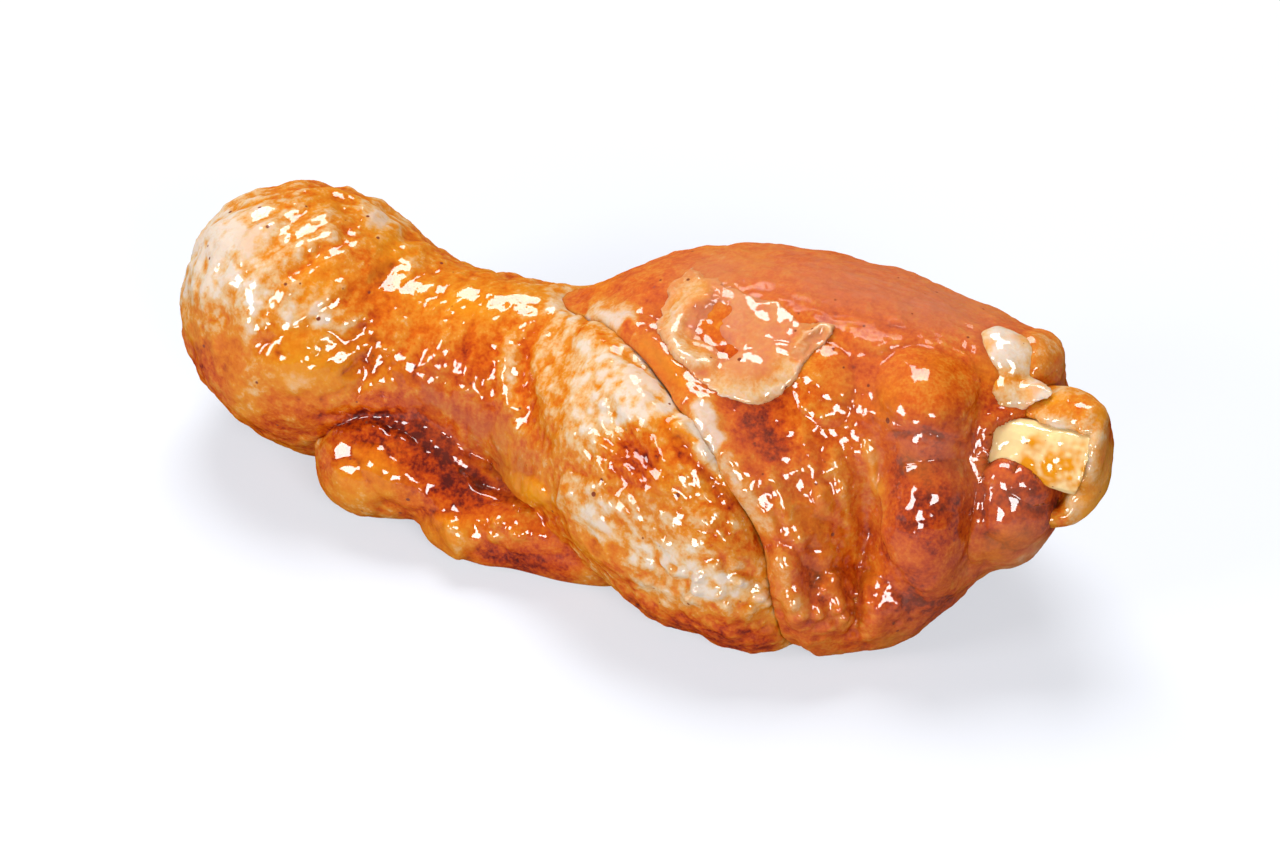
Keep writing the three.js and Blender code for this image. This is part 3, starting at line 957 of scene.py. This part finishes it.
FATTY = [
    ((-33.4, 15.3), 4.0, 0.8, 3.0),
    ((-29.2, 2.7), 3.6, 0.15, 3.0),
    ((-18.9, 22.4), 7.0, 0.4, 3.0),
    ((-11.8, 3.6), 2.8, 0.7, 1.2, -35),
    ((-18.9, -1.8), 2.4, 0.5, 2.4),
    ((-23.7, 3.0), 3.6, 0.2, 1.0, -40),
    ((3.4, 8.8), 2.4, 0.4, 1.0, -35),
    ((-26.3, 29.1), 3.4, 0.4, 1.8, -45),
]

yellow = 0.3 * smoothstep(noise(co, 6 * MM, 7), 0.0, 0.6) + press.spots(FATTY)
store(skin, "yellow", yellow * smoothstep(sauce_and_shade, 0.9, 0.5))
# meat shows through where the skin is thin
lean = 0.55 * press.ridge([(-23.7, 15.3), (-19.2, 10.7), (-14.7, 6.9), (-10.2, 3.6)], 3.2)
lean += press.spot(0.2, 1.7, 4.5, 0.3, 2.2, -20)
store(skin, "flesh", lean * (0.6 + 0.5 * noise(co, 2 * MM, 20)))
dry = press.spot(-1.1, 10.7, 8.0, 0.55, 5.0, -45) + press.spot(-1.8, 0.4, 5.0, 0.3, 4.0)
store(skin, "dry", dry)
dress(skin, "skin", wet("marinated_skin", 1.4 * MM, 0.2))

# %% [markdown]
# ## The muscle
#
# Past the skin's edge the bare meat is smooth and glassy. It bulges in rounded heads with sharp
# creases between them, and pale strands of gristle run down between the heads. Balls could be
# joined on for the heads, but a joint shows as a seam. The heads are in the plain solid already, so
# domes through the stencil only have to fill them out.

# %% Make the meat's clay

muscle = clay("muscle", "bare_muscle", 0.25 * MM, 14)
covered = 1 - openness(muscle, ["skin", "humerus"])
# it sinks a little deep under the skin, and rises to meet the skin's edge and the gristle
deep = smoothstep(soften(muscle, covered, 60), 0.7, 1)
off_floor = smoothstep(positions(muscle)[:, 2], 0.3 * MM, 3 * MM)
meeting = 4 * soften(muscle, covered, 20) * soften(muscle, 1 - covered, 20)
bedding = touch(muscle, ["cartilage", "joint_capsule", "humerus"], 1.3 * MM)
raise_by(muscle, off_floor * (0.9 * meeting - 0.7 * deep + 0.5 * bedding))
thin_out(muscle, covered > 1 - HIDDEN)
showing = visible(muscle, ["skin", "humerus"])

# %% Carve the heads and strands

STRAND = [(5.0, 12.0), (6.3, 9.8), (7.9, 6.9), (10.5, 2.4), (13.4, -1.8)]
TIP = [(-5.6, 21.1), (-2.7, 20.1), (0.2, 19.5)]
VALLEY = [(22.7, 8.2), (22.4, 4.3), (23.1, -0.2), (24.7, -5.1)]
HEAD_EDGE = [(23.7, 8.5), (27.9, 9.5), (32.4, 8.2)]
BIG_HEAD_EDGE = [(24.4, 8.2), (23.4, 4.3), (24.0, -0.5), (26.0, -5.4), (28.9, -8.6)]
BROWN_HEAD_EDGE = [(33.1, -4.1), (33.7, 1.4), (34.0, 6.2)]
TOP_EDGE = [(19.2, 18.2), (23.1, 16.5), (26.9, 17.5), (30.2, 16.9), (32.7, 14.3)]
FINGER = [(13.1, -2.2), (14.0, -5.7), (15.0, -8.3), (16.0, -10.2)]
FINGER_2 = [(18.2, -5.1), (19.2, -8.0), (19.8, -10.9)]
FINGER_GAP = [(16.3, -1.5), (16.9, -4.7), (17.6, -8.6)]
THREAD = [(21.8, 8.5), (22.7, 5.3), (23.4, 2.0)]
LEFT_STRAND = [(12.1, 6.2), (14.0, 1.7), (15.6, -2.8)]
MIDDLE_STRAND = [(15.6, 10.1), (16.6, 5.6), (17.6, 0.4)]
RIGHT_STRAND = [(18.6, 8.2), (19.5, 3.0), (20.5, -1.5), (21.1, -5.1)]
MEAT_RIDGES = [
    # line, half width, height in millimetres
    (BROWN_HEAD_EDGE, 1.6, 0.7),
    (STRAND, 1.2, 0.25),
    (TIP, 1.3, 0.3),
    (FINGER, 1.2, 0.7),
    (FINGER_2, 0.8, 0.5),
    (FINGER_GAP, 0.9, -0.35),
    (THREAD, 0.4, 0.35),
    (LEFT_STRAND, 0.8, 0.35),
    (MIDDLE_STRAND, 0.8, 0.35),
    (RIGHT_STRAND, 0.8, 0.35),
]

co = positions(muscle)
press = Stencil(muscle)
relief = 0.25 * noise(co, 6 * MM, 8) + 0.1 * noise(co, 2.2 * MM, 9)
relief += np.maximum.reduce(
    [
        press.dome(27.9, 13.3, 4.9, 0.9, 4.2),  # head above the bone
        press.dome(28.9, 1.4, 5.4, 1.4, 8.8, 6),  # big drop-shaped head
        press.dome(36.9, 2.4, 3.5, 1.2, 5.2),  # brown head under the bone
        press.dome(20.8, -8.3, 4.6, 0.8, 3.8),  # wet mass at the bottom
        press.dome(17.9, 13.3, 3.0, 0.7, 4.0),  # lump beside the flap
        press.dome(16.9, 3.0, 4.0, 0.4, 8.0, 12),
        press.dome(38.9, 15.9, 2.8, 0.9, 3.2),
    ]
)
relief += press.fold(HEAD_EDGE, 2.5, 0.5, drop=0.25) + press.fold(BIG_HEAD_EDGE, 2.5, 0.5)
relief += press.fold(TOP_EDGE, 2.5, 0.4) + press.ridges(MEAT_RIDGES)
raise_by(muscle, showing * relief)

# %% [markdown]
# Meat is a bundle of fibres. Noise that is drawn out along them gives the same grain as modelled
# strands for far less work. The torn parts between the heads are rougher, and the heads are calm.

# %% Roughen the meat

FIBRES, BACK_FIBRES = (1, 0, -0.15), (1, 0, 0.1)

co = positions(muscle)
press = Stencil(muscle)
rough = 0.12 + 0.3 * press.spot(17.6, 2.0, 8, 1, 12) + 0.6 * press.spot(19.5, -8.6, 8, 1, 4)
lengthwise = drawn_out(co, FIBRES, 5)
downward = drawn_out(co, RIGHT * 0.25 - UP, 4)
fibres = 0.5 * noise(lengthwise, 0.7 * MM, 10) + 0.7 * rough * wrinkles(downward, 1.2 * MM, 34)
blisters = beads(co, 1.3 * MM, 11, 0.4)
lumps = 0.14 * noise(drawn_out(co, FIBRES, 2), 1.6 * MM, 26) + 0.07 * noise(co, 0.9 * MM, 12)
drops = beads(co, 1.6 * MM, 13, 0.38)
drops *= press.spot(19.5, -8.0, 7, 1, 3.5) + 0.4 * press.spot(17.6, 6.2, 6, 1, 8)
relief = 0.1 * fibres + 0.2 * rough * blisters + lumps + 0.7 * drops
glassy = press.spot(28.9, 2.4, 6, 1, 9) + press.spot(36.9, 2.4, 4, 1, 6)
glassy = np.clip(glassy + press.spot(27.9, 13.3, 5, 1, 4), 0, 1)
# on the side turned away, seams run between the bundles
seams = showing * (1 - press.front) * veins(drawn_out(co, BACK_FIBRES, 3), 8 * MM, 27, 0.08)
raise_by(muscle, showing * relief * (1 - 0.6 * glassy) - 0.35 * seams)

# %% [markdown]
# The meat takes up more marinade than the skin. Gristle takes none, and shows as pale lines along
# the strands that were carved, so the tables use the same lines. Shade is painted in as darker
# marinade in the creases, under the edge of the upper head, under the membrane's crescent, along
# the big head's lower edge and where the meat meets the bone and the gristle. Along the top the
# film has dried, and the meat there is the plain pink of raw chicken.

# %% Spread marinade over the meat

HEAD_RIM = [(33.7, -6.4), (36.9, -4.4), (40.5, -1.5)]
PALE = [
    # line, half width, amount
    (STRAND[:3], 1.2, 0.6),
    (STRAND, 1.1, 0.4),
    (FINGER, 1.2, 0.2),
    (FINGER_2, 0.8, 0.12),
    (THREAD, 0.4, 0.2),
    (RIGHT_STRAND, 0.9, 0.16),
    (MIDDLE_STRAND, 0.9, 0.08),
    (LEFT_STRAND, 0.9, 0.16),
    (TIP, 1.3, 0.5),
    (HEAD_RIM, 1.0, 0.4),
]
# dark lines of marinade in creases and gaps, and painted shadow under overhangs
DEEP_AND_SHADOWED = [
    (VALLEY, 1.2, 0.02),
    (FINGER_GAP, 1.1, 0.12),
    # painted shadow under the upper head's edge
    ([(24.0, 8.2), (27.9, 9.1), (32.1, 7.8)], 0.5, 0.2),
    # painted shadow under the membrane's crescent
    ([(6.9, 12.7), (11.1, 10.4), (15.0, 12.7)], 1.4, 0.18),
    ([(9.5, 10.7), (12.1, 8.2), (14.0, 5.9)], 1.7, 0.22),
    ([(-0.2, 18.8), (1.8, 15.6), (4.0, 13.0)], 1.4, 0.08),
    ([(22.7, -9.3), (26.6, -8.3)], 1.8, 0.1),
    ([(-1.8, 19.5), (-0.5, 18.5)], 0.8, 0.35),
    # painted shade along the big head's lower edge
    ([(25.6, -5.7), (28.6, -8.3), (31.1, -7.3)], 1.5, 0.2),
]
PATCHES = [
    # place, half width, amount, half height, turn
    ((27.6, 2.7), 5.0, 0.33, 7.0),
    ((36.9, 2.4), 4.2, 0.34, 6.0),
    ((20.2, -8.0), 5.0, 0.14, 4.0),
    # painted shade under the big head's lower edge
    ((27.3, -7.6), 5.0, 0.1, 2.0),
    ((29.8, -4.7), 3.4, -0.08, 4.0),
    ((31.5, 5.6), 2.6, -0.26, 2.4),
    ((39.2, 16.2), 3.0, -0.2),
    ((22.7, 2.0), 1.6, -0.22, 5.0),
    ((27.9, 12.7), 4.0, -0.06),
    ((23.1, 21.7), 12.0, 0.04, 4.0, -12),
    ((16.6, 10.7), 4.0, -0.07),
    ((8.2, 24.9), 6.0, -0.16, 3.0),
    ((31.1, 20.4), 5.0, -0.1, 2.4, -20),
]

co = positions(muscle)
press = Stencil(muscle)
sauce_and_shade = 0.56 + 0.06 * noise(co, 9 * MM, 16) + 0.08 * noise(co, 3 * MM, 17) + 0.6 * pooling_and_crease_shade(muscle)
sauce_and_shade += 0.05 * noise(lengthwise, 0.8 * MM, 21)
# painted shade: darker marinade where the meat meets the bone, the gristle and the cartilage
sauce_and_shade += 0.12 * touch(muscle, ["humerus", "joint_capsule", "cartilage"], 1.2 * MM)
mottled = 0.8 + 0.7 * noise(co, 1.3 * MM, 25)
sauce_and_shade -= press.ridges(PALE) * mottled
sauce_and_shade += press.ridges(DEEP_AND_SHADOWED) + press.spots(PATCHES)
store(muscle, "sauce_and_shade", sauce_and_shade)

# %% Add fat, lean and dry places to the meat

LEAN = [
    ((23.1, 22.7), 13.0, 0.45, 3.6, -10),
    ((27.3, 8.2), 4.0, 0.3, 2.0),
    ((36.9, 1.7), 4.0, 0.16, 6.0),
    ((8.2, 24.9), 6.0, 0.42, 3.0),
    ((29.8, 20.7), 7.0, 0.4, 2.6, -15),
]
MEAT_PINK = (0.38, 0.12, 0.06)

yellow = 0.25 * smoothstep(noise(co, 6 * MM, 18), 0.2, 0.7) + press.ridge(THREAD, 0.5, 0.6)
yellow += press.ridge([(-0.5, 18.5), (2.4, 15.6), (5.0, 12.7)], 1.0, 0.6)
store(muscle, "yellow", yellow)
lean = 0.1 + 0.2 * noise(co, 8 * MM, 19) + press.spots(LEAN) + press.ridge(HEAD_RIM, 1.0, 0.4)
threads = veins(lengthwise, 0.8 * MM, 22, 0.15)
lean += 0.3 * threads * press.spot(24.0, 23.6, 13, 1, 3, -12)
store(muscle, "flesh", lean)
store(muscle, "dry", press.spot(21.5, 21.1, 16, 0.95, 5.0, -12))
dress(muscle, "muscle", wet("marinated_meat", 2.4 * MM, 0.3, flesh=MEAT_PINK))

# %% [markdown]
# ## The membrane
#
# A thin membrane lies over the top of the meat like wet paper. It has curled up along its near
# edge, and towards the shoulder it is grown onto the meat. A cloth simulation could drape it, but
# it wouldn't curl where this one does. So each vertex of the frame's flap is laid onto the muscle
# that was just finished, at a height that the stencil gives, and the grown-on part dips below the
# muscle's surface.

# %% Stretch the membrane

RING = [(7.3, 24.0), (4.4, 22.7), (3.1, 20.4), (3.4, 18.2), (5.3, 16.2), (8.2, 14.9)]
RIM = [(2.7, 23.6), (1.1, 21.1), (1.5, 17.8), (3.7, 15.3)]
CRESCENT = [(6.3, 13.6), (8.6, 12.7), (11.1, 12.7), (13.7, 13.6), (15.3, 16.2)]
GROWN_ON = [(5.3, 26.9), (11.1, 23.6), (15.3, 20.4), (21.5, 20.4)]
HOLLOW = [(8.2, 23.0), (6.6, 21.4), (6.3, 19.5), (7.6, 17.8), (9.8, 16.9)]
CURL = [(14.7, 16.2), (16.0, 18.5), (17.9, 19.5), (19.8, 17.5)]

membrane = clay("membrane_flap", "torn_membrane", 0.18 * MM, 4)
press = Stencil(membrane)
# its lower edge hangs lower, and its upper edge reaches higher, than the plain solid's
co, facing = positions(membrane), normals(membrane)
stretch = 2.4 * smoothstep(press.v, 17.5, 23) - 1.3 * smoothstep(17.2 - press.v, 0, 4)
co += stretch[:, None] * np.array(UP) * MM
move(membrane, co)
print("stretched by", stretch.min().round(1), "to", stretch.max().round(1), "mm")

# %% Lay the membrane on the muscle

UNDERSIDE = -0.2  # the lower side lies this far below the muscle's surface, in millimetres

press = Stencil(membrane)
height = 0.2 + 0.1 * noise(co, 1.5 * MM, 40)
height += press.ridge(RING, 1.0, 0.8) - press.ridge(HOLLOW, 0.9, 0.4)
height += press.dome(11.8, 14.9, 4.4, 0.6, 3.0, 15) + press.ridge(CURL, 0.6, 0.6)
height -= 0.7 * smoothstep(press.line(GROWN_ON)[0], -1, 1.2)
meat = BVHTree.FromObject(muscle, bpy.context.evaluated_depsgraph_get())
for i, (at, n) in enumerate(zip(co, facing)):
    foot, out = meat.find_nearest(at)[:2]
    topside = smoothstep(np.dot(n, out), -0.2, 0.5)
    co[i] = foot + out * MM * (height[i] * topside + UNDERSIDE * (1 - topside))
move(membrane, co)
modifier(membrane, "SMOOTH", factor=0.5, iterations=3)
print("laid", len(co), "vertices, up to", height.max().round(1), "mm above the meat")

# %% Colour the membrane

MEMBRANE_PINK = (0.44, 0.195, 0.12)

co = positions(membrane)
press = Stencil(membrane)
thick = press.ridge(RING, 1.1, 0.85) + press.ridge(CRESCENT, 1.3, 1.0)
thick += press.ridge(CURL, 0.7, 0.5) + press.ridge(RIM, 0.4, 0.3)
thick = np.clip(thick, 0, 1)
sauce_and_shade = 0.42 - 0.25 * thick + 0.08 * noise(co, 2 * MM, 41) + pooling_and_crease_shade(membrane)
sauce_and_shade += press.ridge(HOLLOW, 1.1, 0.22)
sauce_and_shade += 0.06 * smoothstep(press.v, 20.5, 23.5) * (1 - thick)
store(membrane, "sauce_and_shade", sauce_and_shade)
store(membrane, "dry", press.spot(6.6, 20.1, 2.6, 0.8, 3.4))
store(membrane, "yellow", 0.15 + 0.3 * noise(co, 3 * MM, 42))
store(membrane, "flesh", 0.5 - 0.5 * thick + 0.1 * noise(co, 3 * MM, 43))
film = wet("wet_membrane", 1.2 * MM, 0.35, flesh=MEMBRANE_PINK)
dress(membrane, "membrane_flap", film)

# %% [markdown]
# ## The bone and the joint
#
# The knife left the bone with a square, chipped end. Its facets stay crisp, so it is subdivided
# without rounding, and noise makes the chips. The gristle and the cartilage beside it are smooth,
# lumpy and pale, and are made alike.

# %% Shape and colour the bone

BONE_CREAM = (0.62, 0.46, 0.22)

bone = clay("humerus", "wing_bone", 0.2 * MM, 3, "SIMPLE")
thin_out(bone, openness(bone, ["muscle"]) < HIDDEN)
co = positions(bone)
raise_by(bone, 0.12 * noise(co, 1.6 * MM, 50) + 0.05 * noise(co, 0.7 * MM, 51))
co = positions(bone)
press = Stencil(bone)
stained_face = press.ridge([(36.3, 6.2), (39.8, 4.9), (43.7, 4.9)], 3.2, 1.1)
stained_face *= 0.75 + 0.9 * noise(co, 1.5 * MM, 53) + 0.7 * noise(co, 0.6 * MM, 54)
# painted shade: the bone darkens where it meets the meat
painted_shade_by_meat = touch(bone, ["muscle"], 1 * MM)
store(bone, "sauce_and_shade", 0.3 + 0.2 * noise(co, 2 * MM, 52) + 0.4 * painted_shade_by_meat)
store(bone, "yellow", 0.2 + stained_face)
store(bone, "flesh", 1 - stained_face - 0.5 * painted_shade_by_meat)
dress(bone, "humerus", wet("damp_bone", 1.2 * MM, 0.15, bump=0.15, flesh=BONE_CREAM))

# %% Shape and colour the gristle and the cartilage

JOINT_PARTS = [
    # node, piece, slot, amount of marinade and first seed
    ("joint_capsule", "joint_cup", "gristle", 0.35, 60),
    ("cartilage", "cartilage_pad", "cartilage", 0.02, 70),
]

for node, name, slot, amount, seed in JOINT_PARTS:
    part = clay(node, name, 0.2 * MM, 8)
    co = positions(part)
    lumps = 0.25 * noise(co, 3 * MM, seed) + 0.08 * noise(co, 1.2 * MM, seed + 1)
    raise_by(part, lumps + 0.4 * touch(part, ["humerus"], 1.2 * MM))
    co = positions(part)
    press = Stencil(part)
    sauce_and_shade = amount + 0.2 * noise(co, 2.5 * MM, seed + 2)
    # painted shade: darker marinade where the gristle and the cartilage meet the meat
    sauce_and_shade += pooling_and_crease_shade(part) + 0.45 * touch(part, ["muscle"], 1.5 * MM)
    sauce_and_shade += press.ridge([(44.4, 12.7), (46.0, 8.2), (45.0, 3.6)], 1.3, 0.16)
    sauce_and_shade -= press.spot(35.6, 16.9, 2.6, 0.2)
    store(part, "sauce_and_shade", sauce_and_shade)
    yellow = 0.6 * smoothstep(noise(co, 2.5 * MM, seed + 3), -0.1, 0.5)
    yellow += press.ridge([(46.0, 8.2), (45.0, 3.6), (41.8, 0.4)], 1.6, 0.6)
    store(part, "yellow", yellow)
    dress(part, node, wet("wet_" + slot, 1.2 * MM, 0.25))
